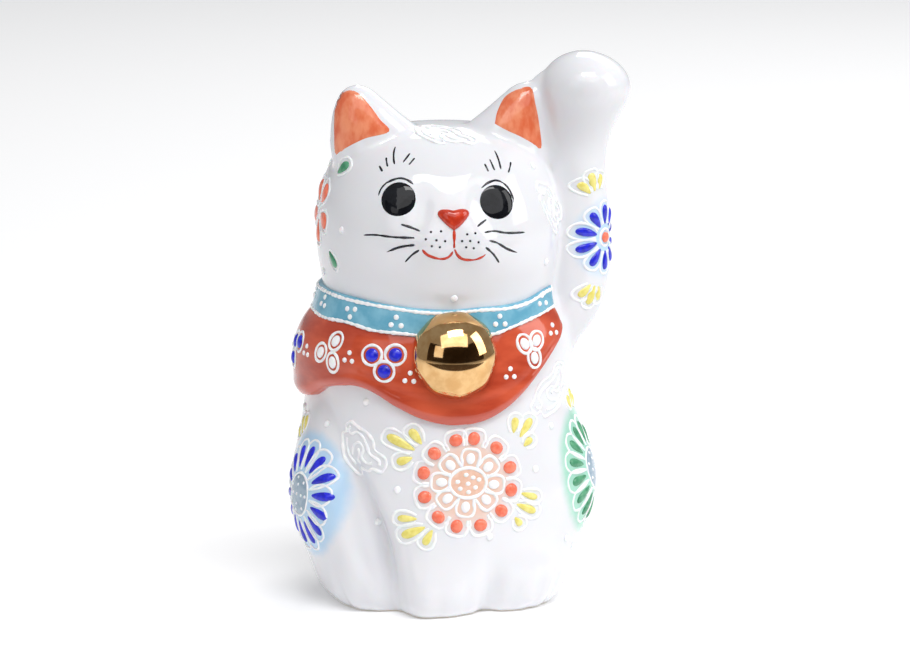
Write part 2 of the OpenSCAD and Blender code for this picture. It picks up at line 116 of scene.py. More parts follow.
# Dark cards painted with shade stand in for the unlit side of the room, so that the bell has something dark
# to mirror.
room_shade, tree, surface = start_material("painted_room_shade", Roughness=0.9)
place = node(tree, "ShaderNodeTexCoord").outputs["Object"]
shade_mottle = node(tree, "ShaderNodeTexNoise", Vector=place, Scale=6.0, Detail=2.0)
# The cards' colour is painted shade: two dark browns mottled together for the unlit room.
tint = node(tree, "ShaderNodeMix", {"data_type": "RGBA"}, _0=shade_mottle.outputs["Fac"],
            _6=linear("#2B2119"), _7=linear("#4A3A2C"))
tree.links.new(tint.outputs[2], surface.inputs["Base Color"])
for name, at, turn, size in (("room_card_middle", (0, -2.1, 0.95), (90, 0, 0), (2.0, 1.7)),
                             ("room_card_left", (-1.5, -1.5, 0.8), (90, 0, -50), (1.8, 1.4)),
                             ("room_card_right", (1.5, -1.5, 0.8), (90, 0, 50), (1.8, 1.4)),
                             ("room_card_table", (0, -1.15, 0.004), (0, 0, 0), (1.6, 1.7))):
    bpy.ops.mesh.primitive_plane_add(size=1, location=at, rotation=[math.radians(a) for a in turn])
    card = bpy.context.object
    card.name = name
    card.scale = (*size, 1)
    card.data.materials.append(room_shade)


def soft_box(name, at, width, height, watts):
    at = Vector(at)
    bpy.ops.object.light_add(type="AREA", location=at,
                             rotation=(Vector((0, 0, 0.07)) - at).to_track_quat("-Z", "Y").to_euler())
    lamp = bpy.context.object
    lamp.name = name
    lamp.data.shape = "RECTANGLE"
    lamp.data.size, lamp.data.size_y = width, height
    lamp.data.energy = watts


soft_box("box_right", (0.95, -0.4, 0.62), 0.5, 0.8, 4.6)
soft_box("box_left_front", (-0.75, -1.0, 0.55), 0.5, 0.5, 0.9)
soft_box("box_over_front", (0.1, -0.75, 1.4), 0.8, 0.38, 9.5)
soft_box("box_front_fill", (0, -1.2, 1.35), 1.8, 0.9, 9)
soft_box("box_behind", (0.5, 0.9, 0.9), 1.0, 0.6, 5.5)
bpy.context.scene.view_settings.view_transform = "Standard"


# ---------------------------------------------------------------- the cast porcelain body
# Slip-cast porcelain: the trunk with the head, the ears, the raised arm and the tail are cast,
# luted together while leather-hard and sponged, so every joint is a soft fillet under one glaze.

PLAN_POWER = 2.3
WALL = 3.2
CLAY_GRAIN = 0.8
HOLLOW_FLOOR, HOLLOW_TOP = 3.4, 125.5
WEB_HALF_SIZE, WEB_CENTRE = (7, 5.6, 15), (28.6, -4.6, 129.5)
DRAIN_RADIUS, DRAIN_BACK = 4, 12

# Height, half width, reach to the front, reach to the back, depth of the widest place.
TRUNK = [(0, 0, 0, 0, 0), (0, 15, 15, 15, 0), (0, 28.4, 29.5, 29.5, -1), (1.8, 31.9, 32.6, 33.6, -1),
         (5, 33.8, 34.2, 36.2, -1), (12, 35.5, 35, 38.6, -3), (20, 36.9, 34.8, 40.4, -5),
         (30, 37.8, 34.2, 41.4, -6), (39, 37.6, 33.8, 40.6, -2), (48, 36.6, 33.4, 38.4, 4),
         (57, 35.9, 32.8, 35.6, 8), (66, 36.4, 31.6, 33.2, 6), (75, 35.2, 29.8, 30.2, 2),
         (81, 32.8, 28.6, 28.2, 1), (85, 31.8, 28.6, 27.4, 2), (89, 32.2, 30.2, 28.2, 4),
         (95, 33, 32.4, 29.4, 5), (102, 33.2, 33.2, 30, 5), (109, 32.6, 32.2, 29.6, 4),
         (115, 31, 29.6, 28, 3), (120.5, 28.4, 25.6, 25.2, 1), (125, 24, 20.6, 20.8, 0),
         (128, 17.6, 14.4, 14.8, 0), (129.5, 9, 7.2, 7.4, 0), (129.8, 0, 0, 0, 0)]
# Height, centre across, centre in depth, half width, half depth.
EAR = [(108, 16, -2, 0, 0), (111, 16.4, -2.4, 7, 8), (117, 17, -3, 11.4, 11), (123, 17.4, -3.8, 12.8, 10),
       (127.4, 17.8, -4.2, 12.6, 8.6), (130.4, 18.9, -4.6, 11.4, 7.6), (132.6, 20.1, -4.8, 9.9, 6.8),
       (134.6, 21.1, -5, 8.5, 6), (136.6, 21.9, -5, 7, 5.2), (138.6, 22.6, -5, 5.4, 4.2),
       (140.4, 23, -5, 3.6, 3), (141.8, 23.1, -5, 0, 0)]
ARM = [(58, 30, 0, 0, 0), (61, 30.2, 0, 4, 5), (66, 30.8, 0, 6, 7.4), (70, 31.6, 0, 7.2, 8.8),
       (75, 33, 0, 9.6, 10), (80, 34.2, 0, 10.8, 10.8), (87, 35.4, 0, 11.2, 11), (95, 36, 0, 10.9, 11),
       (103, 36.1, -0.4, 10.5, 10.6), (111, 36.1, -1, 9.9, 10), (118, 36.2, -2, 9.2, 9.4),
       (124, 36.7, -3.2, 9.1, 9.2), (128, 37.2, -4.2, 9.6, 9.8), (132, 38, -5.2, 10.6, 10.8),
       (136, 38.7, -6, 11.8, 11.8), (139.4, 39, -6.4, 12.3, 12.2), (142.6, 39, -6.6, 11.8, 11.8),
       (145.6, 38.8, -6.6, 10, 10.2), (148, 38.6, -6.5, 7, 7.4), (149.5, 38.5, -6.4, 3.2, 3.6),
       (149.9, 38.4, -6.4, 0, 0)]
TAIL = [
    (2, 2, 34, 0, 0), (4.6, 3, 36, 5.4, 4.4), (9, 6, 38.4, 8.2, 6.2), (15, 10.5, 40, 7.8, 6.4),
    (22, 14, 41, 6.4, 5.8), (29, 15.6, 41.2, 5.4, 5.2), (34, 15, 40.8, 4.2, 4.4), (37.4, 14, 40.2, 2.2, 2.4),
    (38.4, 13.6, 40, 0, 0),
]


def curve_between(a, b, c, d, f):
    """The point a share f of the way from b to c, on a smooth curve through all four."""
    bend = 2 * a - 5 * b + 4 * c - d
    twist = 3 * b - a - 3 * c + d
    return 0.5 * (2 * b + (c - a) * f + bend * f ** 2 + twist * f ** 3)


def through(rows, t):
    """Smooth curve through the rows; t counts rows and may be an array."""
    rows = np.asarray(rows, float)
    last = len(rows) - 1
    padded = np.vstack([2 * rows[0] - rows[1], rows, 2 * rows[last] - rows[last - 1]])
    i = np.clip(np.floor(t).astype(int), 0, last - 1)
    f = (t - i)[..., None]
    a, b, c, d = (padded[i + k] for k in range(4))
    return curve_between(a, b, c, d, f)


def bump(x, width):
    return np.exp(-(x / width) ** 2 / 2)


def signed_power(v, e):
    return np.sign(v) * np.abs(v) ** e


def haunch_crease(z):
    return -28 - 15 * (z / 38) ** 2


def relief(q, z):
    """Modelled detail in millimetres: q in degrees round from the front, z the height."""
    aside = np.abs(q)
    low = bump(np.maximum(z - 6, 0), 6)
    return (
        4.3 * bump(aside - 82, 24) * bump(z - np.where(q > 0, 33, 28.5), 11)    # haunches
        + 1.8 * bump(q + 9, 12) * bump(np.maximum(z - 8, 0), 18)                # foreleg
        + 3.6 * bump(q + 9, 10) * low                                           # its paw
        + 2.8 * bump(q - 42, 17) * bump(np.maximum(z - 9, 0), 4.5)              # left hind foot
        + 1.8 * bump(q + 50, 12) * low                                          # right hind foot
        - 7.8 * bump(q - haunch_crease(z), 5.2) * bump(z - 19, 16)
        + 1.6 * bump(q - haunch_crease(z) + 17, 9) * bump(z - 22, 13)
        - 3.9 * bump(q - 14, 4) * bump(z - 1, 8)
        - 0.9 * bump(q - 62, 8) * bump(z - 26, 14)
        - sum(0.95 * bump(q - toe, 1.9) * bump(z - 3.5, 5) for toe in (-20, -5.5, 3.5, 25, 37, 48, -41, -54))
        + 1.6 * bump(aside - 8, 5.5) * bump(z - 102, 3.8)                       # muzzle
        + 0.8 * bump(q, 9) * bump(z - 106, 4)
        - 1.5 * bump(aside - 13, 5) * bump(z - 111.5, 4)                        # hollows by the nose
        + 0.7 * bump(aside - 42, 16) * bump(z - 98, 8)                          # cheeks
        - 0.7 * bump(q, 10) * bump(z - 94.5, 3.4)                               # under the mouth
    )


def sphere_start(name, segments, rings):
    bpy.ops.object.select_all(action="DESELECT")
    bpy.ops.mesh.primitive_uv_sphere_add(segments=segments, ring_count=rings, radius=1)
    piece = bpy.context.object
    piece.name = name
    return piece


def get_points(piece):
    points = np.empty(len(piece.data.vertices) * 3)
    piece.data.vertices.foreach_get("co", points)
    return points.reshape(-1, 3)


def put_points(piece, points):
    piece.data.vertices.foreach_set("co", np.ascontiguousarray(points, float).ravel())
    piece.data.update()


def stack_place(points, rows):
    """Angle round and row number of each point of a unit sphere."""
    q = np.degrees(np.arctan2(points[:, 0], -points[:, 1]))
    rise = 1 - np.arccos(np.clip(points[:, 2], -1, 1)) / math.pi
    return q, rise * (len(rows) - 1)


def shape_trunk(piece, inset=0.0):
    q, t = stack_place(get_points(piece), TRUNK)
    row = through(TRUNK, t)
    z = np.clip(row[:, 0], 0, None)
    sx, cy = np.sin(np.radians(q)), np.cos(np.radians(q))
    reach = np.where(cy > 0, row[:, 2], row[:, 3])
    reach = np.maximum(reach + np.sign(cy) * row[:, 4], 0)
    out = relief(q, z) * np.clip(row[:, 1] / 20, 0, 1) - inset
    put_points(piece, MM * np.column_stack([
        np.maximum(row[:, 1], 0) * signed_power(sx, 2 / PLAN_POWER) + out * sx,
        row[:, 4] - reach * signed_power(cy, 2 / PLAN_POWER) - out * cy, z]))


def shape_limb(piece, rows, hand=1):
    q, t = stack_place(get_points(piece), rows)
    row = through(rows, t)
    sx, cy = np.sin(np.radians(q)), np.cos(np.radians(q))
    put_points(piece, MM * np.column_stack([
        hand * (row[:, 1] + np.maximum(row[:, 3], 0) * sx),
        row[:, 2] - np.maximum(row[:, 4], 0) * cy,
        row[:, 0]]))


def apply_modifier(piece, kind, **settings):
    bpy.ops.object.select_all(action="DESELECT")
    piece.select_set(True)
    bpy.context.view_layer.objects.active = piece
    modifier = piece.modifiers.new(kind.lower(), kind)
    for name, value in settings.items():
        setattr(modifier, name, value)
    bpy.ops.object.modifier_apply(modifier=modifier.name)


def face_outwards(piece):
    bpy.ops.object.select_all(action="DESELECT")
    piece.select_set(True)
    bpy.context.view_layer.objects.active = piece
    bpy.ops.object.mode_set(mode="EDIT")
    bpy.ops.mesh.select_all(action="SELECT")
    bpy.ops.mesh.remove_doubles(threshold=0.002 * MM)
    bpy.ops.mesh.normals_make_consistent(inside=False)
    bpy.ops.object.mode_set(mode="OBJECT")


def join(name, pieces):
    bpy.ops.object.select_all(action="DESELECT")
    for piece in pieces:
        piece.select_set(True)
    bpy.context.view_layer.objects.active = pieces[0]
    bpy.ops.object.join()
    pieces[0].name = name
    return pieces[0]


clay = [sphere_start("trunk", 288, 260)]
shape_trunk(clay[0])
for hand in (-1, 1):
    clay.append(sphere_start("ear", 64, 60))
    shape_limb(clay[-1], EAR, hand)
clay.append(sphere_start("arm", 96, 120))
shape_limb(clay[-1], ARM)
clay.append(sphere_start("tail", 64, 60))
shape_limb(clay[-1], TAIL)
# A web of clay closes the gap between the left ear and the raised paw.
clay.append(sphere_start("web", 32, 24))
put_points(clay[-1], MM * (get_points(clay[-1]) * WEB_HALF_SIZE + WEB_CENTRE))
for lump in clay:
    face_outwards(lump)
trunk_skin = BVHTree.FromObject(clay[0], bpy.context.evaluated_depsgraph_get())
cast = join("cast_body", clay)
apply_modifier(cast, "REMESH", mode="VOXEL", voxel_size=CLAY_GRAIN * MM)
apply_modifier(cast, "SMOOTH", factor=0.5, iterations=14)
flat = get_points(cast)
flat[:, 2] = np.where(flat[:, 2] < 0.35 * MM, 0, flat[:, 2])
put_points(cast, flat)

# The casting is hollow: the slip was poured out through a small hole under the base.
hollow = sphere_start("hollow", 96, 90)
shape_trunk(hollow, inset=WALL)
inner = get_points(hollow)
inner[:, 2] = np.clip(inner[:, 2], HOLLOW_FLOOR * MM, HOLLOW_TOP * MM)
put_points(hollow, inner)
face_outwards(hollow)
bpy.ops.object.select_all(action="DESELECT")
bpy.ops.mesh.primitive_cylinder_add(vertices=48, radius=DRAIN_RADIUS * MM, depth=10 * MM,
                                    location=(0, DRAIN_BACK * MM, 2 * MM))
drain = bpy.context.object
for cutter in (hollow, drain):
    bpy.ops.object.select_all(action="DESELECT")
    cutter.select_set(True)
    bpy.context.view_layer.objects.active = cutter
    bpy.ops.object.transform_apply(location=True, rotation=True, scale=True)
    apply_modifier(cast, "BOOLEAN", operation="DIFFERENCE", solver="MANIFOLD", object=cutter)
    bpy.data.objects.remove(cutter)
skin = BVHTree.FromObject(cast, bpy.context.evaluated_depsgraph_get())


def spot(q, z, tree=None, across=0.0, depth=0.0):
    """Where a level line from the axis meets the surface: q degrees round, z millimetres up."""
    way = Vector((math.sin(math.radians(q)), -math.cos(math.radians(q)), 0))
    start = Vector((across, depth, z)) * MM + way * 0.12
    hit, normal, _, _ = (tree or skin).ray_cast(start, -way)
    return hit, normal


class Ground:
    """A small flat drawing board held against the surface: s runs right, v up, h out."""

    def __init__(self, hit, normal, tree=None):
        self.tree = tree or skin
        self.at, self.out = hit, normal.normalized()
        self.right = Vector((0, 0, 1)).cross(self.out).normalized()
        self.up = self.out.cross(self.right)

    def lay(self, s, v, h=0.0):
        start = self.at + (self.right * s + self.up * v) * MM + self.out * 0.008
        hit, normal, _, _ = self.tree.ray_cast(start, -self.out, 0.03)
        if hit is None:
            hit, normal, _, _ = self.tree.find_nearest(start - self.out * 0.008)
        return hit + normal * (h * MM), normal


def lay_piece(piece, ground, points):
    put_points(piece, [ground.lay(*point)[0] for point in points])
    return piece


def bead(ground, s, v, radius, rise, stretch=1.0, turn=0.0):
    """A rounded bead of thick enamel, half sunk where it wets the glaze."""
    piece = sphere_start("bead", 20, 12)
    c, d = math.cos(math.radians(turn)), math.sin(math.radians(turn))
    return lay_piece(piece, ground, [
        (s + radius * (stretch * a * c - b * d),
         v + radius * (stretch * a * d + b * c),
         rise * (k if k > 0 else 0.25 * k))
        for a, b, k in get_points(piece)])


def drop(ground, tip, fat, width, rise):
    """A tear of enamel pulled from its fat end to a tip."""
    piece = sphere_start("drop", 20, 18)
    (s0, v0), (s1, v1) = tip, fat
    length = math.hypot(s1 - s0, v1 - v0)
    c, d = (s1 - s0) / length, (v1 - v0) / length
    points = []
    for a, b, k in get_points(piece):
        along = length * (a + 1) / 2
        swell = 0.42 + 0.58 * max(0, (a + 1) / 2) ** 1.3
        across = b * width * 0.7 * swell
        points.append((s0 + along * c - across * d, v0 + along * d + across * c,
                       rise * swell * (k if k > 0 else 0.25 * k)))
    return lay_piece(piece, ground, points)


def smooth_path(path, step=0.35, closed=False):
    rows = np.asarray(path, float)
    if closed:
        rows = np.vstack([rows, rows[:1]])
    reach = max(2, int(np.linalg.norm(np.diff(rows, axis=0), axis=1).sum() / step))
    made = through(rows, np.linspace(0, len(rows) - 1, reach))
    return made[:-1] if closed else made


wobble = np.random.default_rng(7)
SWELL_RATES = (0.13, 0.37, 0.71)


def settle(places, closed):
    """Evens out the small steps of a line laid on the surface, as wet enamel does."""
    rows = np.array([[*hit, *normal] for hit, normal in places])
    for _ in range(3):
        before, after = np.roll(rows, 1, axis=0), np.roll(rows, -1, axis=0)
        if not closed:
            before[0], after[-1] = rows[0], rows[-1]
        rows = (before + 2 * rows + after) / 4
    return rows


def trail(name, runs, width, sink=0.35, taper=0.0, uneven=0.1):
    """Lines drawn on the surface: each run is (points with normals, closed)."""
    bpy.ops.object.select_all(action="DESELECT")
    bpy.ops.curve.primitive_bezier_curve_add(radius=MM)
    piece = bpy.context.object
    piece.name = name
    shape = piece.data
    shape.splines.clear()
    shape.dimensions = "3D"
    shape.bevel_depth, shape.bevel_resolution, shape.use_fill_caps = MM, 3, True
    radius = width / 2 / math.sqrt(max(1 - sink ** 2, 0.05))
    for places, closed in runs:
        line = shape.splines.new("POLY")
        line.points.add(len(places) - 1)
        line.use_cyclic_u = closed
        phases = wobble.uniform(0, 6.28, 3)
        for i, row in enumerate(settle(places, closed)):
            t = i / max(len(places) - 1, 1)
            waves = sum(math.sin(phase + i * rate) for phase, rate in zip(phases, SWELL_RATES))
            swell = 1 + uneven * waves / 2
            end = 1.0 if closed else 1 - taper * (1 - min(1, math.sin(math.pi * t) * 1.8)) ** 1.5
            line.points[i].co = (*(row[:3] - row[3:] * (radius * sink * MM)), 1)
            line.points[i].radius = radius * swell * end
    bpy.ops.object.convert(target="MESH")
    piece = bpy.context.object
    bpy.ops.object.shade_smooth()
    piece.location = (0, 0, 0)
    return piece


def on_ground(ground, path, closed=False):
    return [ground.lay(s, v) for s, v in smooth_path(path, closed=closed)], closed


def round_axis(path, tree=None, step=0.5, closed=False, across=0.0, depth=0.0):
    rows = np.asarray(path, float) * (0.58, 1)
    return [spot(q / 0.58, z, tree, across, depth) for q, z in smooth_path(rows, step, closed)], closed


def oval_path(across, tall, count, lean=0.0):
    """Points round an oval, lean degrees over."""
    c, d = math.cos(math.radians(lean)), math.sin(math.radians(lean))
    return [(across * math.cos(t) * c - tall * math.sin(t) * d,
             across * math.cos(t) * d + tall * math.sin(t) * c)
            for t in np.linspace(0, 2 * math.pi, count, endpoint=False)]


def heading(degrees):
    return math.cos(math.radians(degrees)), math.sin(math.radians(degrees))


def loop_round(tip, fat, width, margin, spread=0.5):
    """A hand-drawn U round a petal, open at the tip."""
    (s0, v0), (s1, v1) = tip, fat
    length = math.hypot(s1 - s0, v1 - v0)
    c, d = (s1 - s0) / length, (v1 - v0) / length
    half = width / 2 + margin
    side = [(0, spread * half), (0.4 * length, 0.86 * half), (length - 0.45 * width, half),
            (length + 0.2 * margin, 0.86 * half), (length + 0.9 * margin, 0.4 * half)]
    whole = side + [(a, -b) for a, b in reversed(side)]
    return [(s0 + a * c - b * d, v0 + a * d + b * c) for a, b in whole]


def finish_piece(piece, name, material, slot, *nodes):
    piece.name = name
    piece.data.materials.clear()
    piece.data.materials.append(material)
    bpy.ops.object.select_all(action="DESELECT")
    piece.select_set(True)
    bpy.context.view_layer.objects.active = piece
    bpy.ops.object.shade_smooth()
    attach(piece, "root")
    if nodes:
        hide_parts(*nodes)
    return piece


def glaze(name, light, dark, patch=2.5, roughness=0.08, streak=(1, 1, 1), bump_height=0.02, metallic=0.0):
    """Fired glass colour: two depths of one pigment where the brush left more or less of it."""
    material, tree, surface = start_material(name, Metallic=metallic, IOR=1.5)
    place = node(tree, "ShaderNodeTexCoord").outputs["Object"]
    drawn = node(tree, "ShaderNodeMapping", Vector=place)
    drawn.inputs["Scale"].default_value = streak
    pool = node(tree, "ShaderNodeTexNoise", Vector=drawn.outputs["Vector"],
                Scale=1 / (patch * MM), Detail=3.0)
    contrast = node(tree, "ShaderNodeMapRange", {"interpolation_type": "SMOOTHSTEP"},
                    Value=pool.outputs["Fac"],
                    From_Min=0.32, From_Max=0.68)
    tint = node(tree, "ShaderNodeMix", {"data_type": "RGBA"}, _0=contrast.outputs["Result"],
                _6=linear(light), _7=linear(dark))
    tree.links.new(tint.outputs[2], surface.inputs["Base Color"])
    fine = node(tree, "ShaderNodeTexNoise", Vector=place, Scale=1 / (0.9 * MM), Detail=2.0)
    rough = node(tree, "ShaderNodeMapRange", Value=fine.outputs["Fac"],
                 To_Min=roughness * 0.7, To_Max=roughness * 1.5)
    tree.links.new(rough.outputs["Result"], surface.inputs["Roughness"])
    ripple = node(tree, "ShaderNodeBump", Strength=0.3, Distance=bump_height * MM, Height=fine.outputs["Fac"])
    tree.links.new(ripple.outputs["Normal"], surface.inputs["Normal"])
    return material, tree, surface


# The clear glaze over white clay, with the thin washes brushed round the flowers before the
# last firing, and the bare clay of the foot where the glaze was wiped off.
FRONT_FLOWER = Ground(*spot(5.9, 37))
BLUE_FLOWER = Ground(*spot(-70, 31))
GREEN_FLOWER = Ground(*spot(74, 35.5))
ARM_FLOWER = Ground(*spot(56, 98.5, across=36, depth=-1))
CHEEK_FLOWER = Ground(*spot(-91, 106.6))

porcelain, tree, surface = start_material("glazed_porcelain", IOR=1.5, Subsurface_Weight=0.12,
                                          Subsurface_Scale=0.001)
place = node(tree, "ShaderNodeTexCoord").outputs["Object"]
cloudy = node(tree, "ShaderNodeTexNoise", Vector=place, Scale=1 / (22 * MM), Detail=3.0)
colour = node(tree, "ShaderNodeMix", {"data_type": "RGBA"}, _0=cloudy.outputs["Fac"],
              _6=linear("#EBEBEF"), _7=linear("#E6E7EB"))
brushed = node(tree, "ShaderNodeTexNoise", Vector=place, Scale=1 / (3 * MM), Detail=3.0)
for ground, inner_edge, outer_edge, wash in (
        (FRONT_FLOWER, 7.4, 14.6, "#F0CDBC"), (BLUE_FLOWER, 15.6, 19.4, "#BCDAF3"),
        (GREEN_FLOWER, 15.6, 19.4, "#A8DCC8"), (ARM_FLOWER, 7.4, 12.4, "#BFDCF4")):
    far = node(tree, "ShaderNodeVectorMath", {"operation": "DISTANCE"}, _0=place, _1=tuple(ground.at))
    ragged = node(tree, "ShaderNodeMath", {"operation": "MULTIPLY_ADD"}, _0=brushed.outputs["Fac"],
                  _1=1.6 * MM, _2=far.outputs["Value"])
    fade = node(tree, "ShaderNodeMapRange", {"interpolation_type": "SMOOTHSTEP"},
                Value=ragged.outputs["Value"],
                From_Min=(inner_edge + 0.8) * MM, From_Max=(outer_edge + 0.8) * MM, To_Min=1.0, To_Max=0.0)
    colour = node(tree, "ShaderNodeMix", {"data_type": "RGBA"}, _0=fade.outputs["Result"],
                  _6=colour.outputs[2], _7=linear(wash))
height = node(tree, "ShaderNodeSeparateXYZ", Vector=place)
bare = node(tree, "ShaderNodeMapRange", Value=height.outputs["Z"], From_Min=0.25 * MM, From_Max=0.6 * MM,
            To_Min=1.0, To_Max=0.0)
colour = node(tree, "ShaderNodeMix", {"data_type": "RGBA"}, _0=bare.outputs["Result"],
              _6=colour.outputs[2], _7=linear("#E6DFD3"))
tree.links.new(colour.outputs[2], surface.inputs["Base Color"])
shine = node(tree, "ShaderNodeMapRange", Value=bare.outputs["Result"], To_Min=0.06, To_Max=0.75)
tree.links.new(shine.outputs["Result"], surface.inputs["Roughness"])
peel = node(tree, "ShaderNodeTexNoise", Vector=place, Scale=1 / (5 * MM), Detail=2.0)
ripple = node(tree, "ShaderNodeBump", Strength=0.35, Distance=0.05 * MM, Height=peel.outputs["Fac"])
tree.links.new(ripple.outputs["Normal"], surface.inputs["Normal"])
finish_piece(cast, "cast_body", porcelain, "porcelain", "torso_shell", "head_shell", "raised_arm", "tail")


# ---------------------------------------------------------------- painted ears
# Iron-orange enamel brushed thinly over the front of each ear, with a soft ragged edge.

def patch(name, ground, outline, thick, dome=False):
    """A flat area of enamel inside an outline, thinning to nothing at its edge."""
    edge = np.asarray(outline, float)
    centre = edge.mean(axis=0)
    smooth = smooth_path(edge, 0.25, closed=True)
    bearing = np.arctan2(smooth[:, 1] - centre[1], smooth[:, 0] - centre[0])
    reach = np.hypot(smooth[:, 0] - centre[0], smooth[:, 1] - centre[1])
    order = np.argsort(bearing)
    piece = sphere_start(name, 96, 32)
    points = []
    for a, b, k in get_points(piece):
        r = math.hypot(a, b)
        t = math.atan2(b, a)
        far = np.interp(t, bearing[order], reach[order], period=2 * math.pi) * min(r, 1)
        level = (math.sqrt(max(0, 1 - r * r)) if dome else (1 - min(r, 1) ** 6)) * thick
        points.append((centre[0] + far * math.cos(t), centre[1] + far * math.sin(t),
                       level if k > 0 else -0.3 * thick))
    return lay_piece(piece, ground, points)


orange = glaze("iron_orange_enamel", "#F59A74", "#E36C46", patch=3.2, roughness=0.09, streak=(1, 1, 0.5))[0]
LEFT_EAR = [(13.6, 131), (14.6, 134.2), (17, 137.8), (20.6, 139.9), (24, 140.2), (24.9, 136), (25.8, 131),
            (26.4, 124), (23.5, 125.8), (20.4, 127.6), (16.8, 129.3)]
RIGHT_EAR = [(-28.9, 137.6), (-26.9, 139.9), (-23.6, 140), (-20.1, 136.4), (-17.5, 132.8), (-15.1, 129.6),
             (-21.5, 127.9), (-26.4, 125.3), (-29.2, 122.8), (-29.6, 128), (-29.5, 133)]
for name, outline, target in (("ear_paint_left", LEFT_EAR, "ear_enamel_left"),
                              ("ear_paint_right", RIGHT_EAR, "ear_enamel_right")):
    middle = np.mean(outline, axis=0)
    hit, normal, _, _ = skin.ray_cast(Vector((middle[0], -100, middle[1])) * MM, Vector((0, 1, 0)))
    board = Ground(hit, Vector((0, -1, 0)))
    paint = patch(name, board, [(x - middle[0], z - middle[1]) for x, z in outline], 0.16)
    finish_piece(paint, name, orange, "ear_orange", target)


# ---------------------------------------------------------------- eyes
# Round pools of glossy black enamel.

black, _, surface = glaze("black_enamel", "#111216", "#191B20", patch=2, roughness=0.04)
surface.inputs["Specular IOR Level"].default_value = 0.3
for name, q, z, across, tall, target in (("eye_pool_right", -27.8, 113.8, 4.7, 4.75, "eye_right"),
                                         ("eye_pool_left", 22.6, 112.6, 4.6, 4.75, "eye_left")):
    board = Ground(*spot(q, z))
    finish_piece(patch(name, board, oval_path(across, tall, 16), 0.3), name, black, "black_enamel", target)


# ---------------------------------------------------------------- brush lines of the face
# Lids, lashes and whiskers in thin black and the mouth in iron red, each one pull of a fine
# brush: thicker in the middle, running out to a point.

line_black = glaze("fine_black_line", "#1A1A20", "#2C2C34", patch=1.2, roughness=0.12)[0]
lids = [[(-38.4, 113.4), (-37.9, 116), (-35.1, 117.8), (-29.3, 118.9), (-23.8, 118.3), (-19.8, 116.9)],
        [(15.1, 115.9), (19.4, 117.3), (25.2, 118), (29.6, 116.7), (31.4, 114.2), (31.2, 111.2)]]
lashes = [[(-44.3, 121.7), (-39.9, 120.1)], [(-42.8, 123.8), (-37.9, 121.2)], [(-42.1, 126.4),
                                                                               (-34.2, 121.7)],
          [(-27.7, 125.1), (-30.4, 122.3)], [(-23.4, 124), (-26.4, 121.9)], [(22, 122.4), (22.5, 119.9)],
          [(26.8, 123.4), (26.4, 120.1)], [(34.8, 125.5), (30.2, 120.1)], [(40.3, 122.2), (33.6, 119.3)]]
whiskers = [[(-25.6, 107.4), (-20.7, 106.7), (-14.9, 105.6)],
            [(-45, 103.6), (-36.7, 104.1), (-28.8, 103.9), (-22.7, 103.9), (-16.7, 104)],
            [(-17.1, 102.2), (-25, 101.3), (-32.6, 99.4)], [(-15.2, 101.1), (-19.5, 99.3), (-23.6, 96.7)],
            [(9.8, 106.6), (13.1, 107.6), (16.5, 108.5)], [(12, 105.1), (18.6, 105.3), (25.1, 104.5),
                                                           (37.4, 104)],
            [(14.2, 103.2), (19.8, 102.1), (25, 100.2), (31.5, 98.6)], [(13.1, 101.6), (18, 99.1),
                                                                        (22, 96.1)]]
mouth = [[(-0.4, 106.6), (-0.4, 103.5), (-0.4, 100.9)],
         [(-0.4, 101.1), (-2, 99.2), (-4.6, 98.3), (-8.3, 98.5), (-12.6, 99.6), (-14.8, 101.2)],
         [(-0.4, 101.1), (1.4, 99.1), (4, 98), (8.1, 97.8), (11.7, 98.3), (14.6, 99.5)]]
for name, lines, width, target in (("lid_lines", lids, 0.66, "eyelid_lines"),
                                   ("lash_lines", lashes, 0.6, "lashes"),
                                   ("whisker_lines", whiskers, 0.66, "whiskers")):
    drawn = trail(name, [round_axis(line, step=0.3) for line in lines], width,
                  sink=0.8, taper=0.35, uneven=0.06)
    finish_piece(drawn, name, line_black, "line_black", target)
spots = [(-10.8, 105.7), (-6.3, 105.9), (-13, 103.8), (-8.3, 103.6), (-4.5, 103.3), (-10.3, 102),
         (-6.8, 101.7), (5.4, 105), (9.1, 105.2), (3.1, 103.2), (6.6, 103.2), (10.3, 102.8), (4.9, 101.5),
         (8.2, 101.2)]
dots = [bead(Ground(*spot(q, z)), 0, 0, 0.34, 0.12) for q, z in spots]
finish_piece(join("muzzle_dots", dots), "muzzle_dots", line_black, "line_black", "muzzle_spots")

iron_red = glaze("iron_red_enamel", "#D6452C", "#B93420", patch=1.8, roughness=0.05)[0]
finish_piece(trail("mouth_brush", [round_axis(line, step=0.3) for line in mouth], 0.85, sink=0.72, taper=0.3),
             "mouth_brush", iron_red, "iron_red", "mouth_line")
board = Ground(*spot(-0.3, 108.6))
heart = [(0, -2.7), (1.5, -1.7), (3.3, 0.2), (4.25, 1.9), (3.5, 3), (1.8, 3.1), (0, 2.75),
         (-1.8, 3.1), (-3.5, 3), (-4.25, 1.9), (-3.3, 0.2), (-1.5, -1.7)]
finish_piece(patch("nose_button", board, heart, 1.5, dome=True), "nose_button", iron_red, "iron_red", "nose")


# ---------------------------------------------------------------- collar and bib
# Raised in the casting and painted: a blue band round the neck, edged with two trailed white
# lines, over a red bib whose rolled hem dips at the front and lifts over the raised arm.

